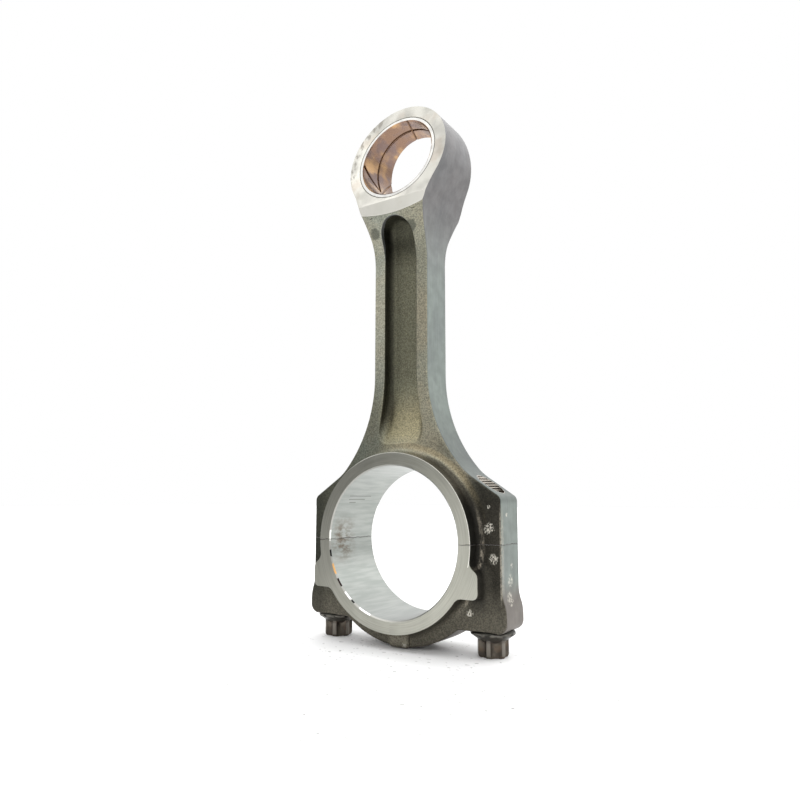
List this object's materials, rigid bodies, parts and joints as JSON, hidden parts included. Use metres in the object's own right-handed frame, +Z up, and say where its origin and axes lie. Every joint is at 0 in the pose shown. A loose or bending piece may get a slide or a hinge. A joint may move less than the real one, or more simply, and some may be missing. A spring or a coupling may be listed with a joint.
{
  "type": "connecting rod",
  "caption": "Forged engine connecting rod with a wedge-shaped bushed small end, recessed shank and a fracture-split big end closed by a bolted cap.",
  "frame": {"origin": "centre of the big-end bore", "axes": "+Y along the bores, away from the face with the raised pip; +Z up the shank to the small end; X across the rod through the cap bolts"},
  "size_m": [0.1456, 0.048, 0.3597],
  "materials": {
    "forged_steel": "shot-blasted forging with machined faces and bores",
    "cap_steel": "shot-blasted forging with machined faces and bore",
    "bush_bronze": "fine-bored bronze, worn",
    "bolt_steel": "black phosphate"
  },
  "bodies": {
    "rod": {"rod_body": "forged_steel", "small_end_bush": "bush_bronze"},
    "cap": {"rod_cap": "cap_steel"},
    "bolt_left": {"cap_bolt_left": "bolt_steel"},
    "bolt_right": {"cap_bolt_right": "bolt_steel"}
  },
  "joints": [
    {"name": "cap_slide", "type": "slide", "parent": "rod", "child": "cap", "axis": [0, 0, -1], "range_m": [0, 0.033]},
    {"name": "left_bolt_turn", "type": "hinge", "parent": "cap", "child": "bolt_left", "pos_m": [-0.0581, 0, -0.05], "axis": [0, 0, -1], "range_deg": [0, 7921]},
    {"name": "right_bolt_turn", "type": "hinge", "parent": "cap", "child": "bolt_right", "pos_m": [0.0581, 0, -0.05], "axis": [0, 0, -1], "range_deg": [0, 7921]}
  ],
  "couplings": [
    {"joint": "left_bolt_turn", "follows": "cap_slide", "rad_per_m": 4188.8},
    {"joint": "right_bolt_turn", "follows": "cap_slide", "rad_per_m": 4188.8}
  ]
}
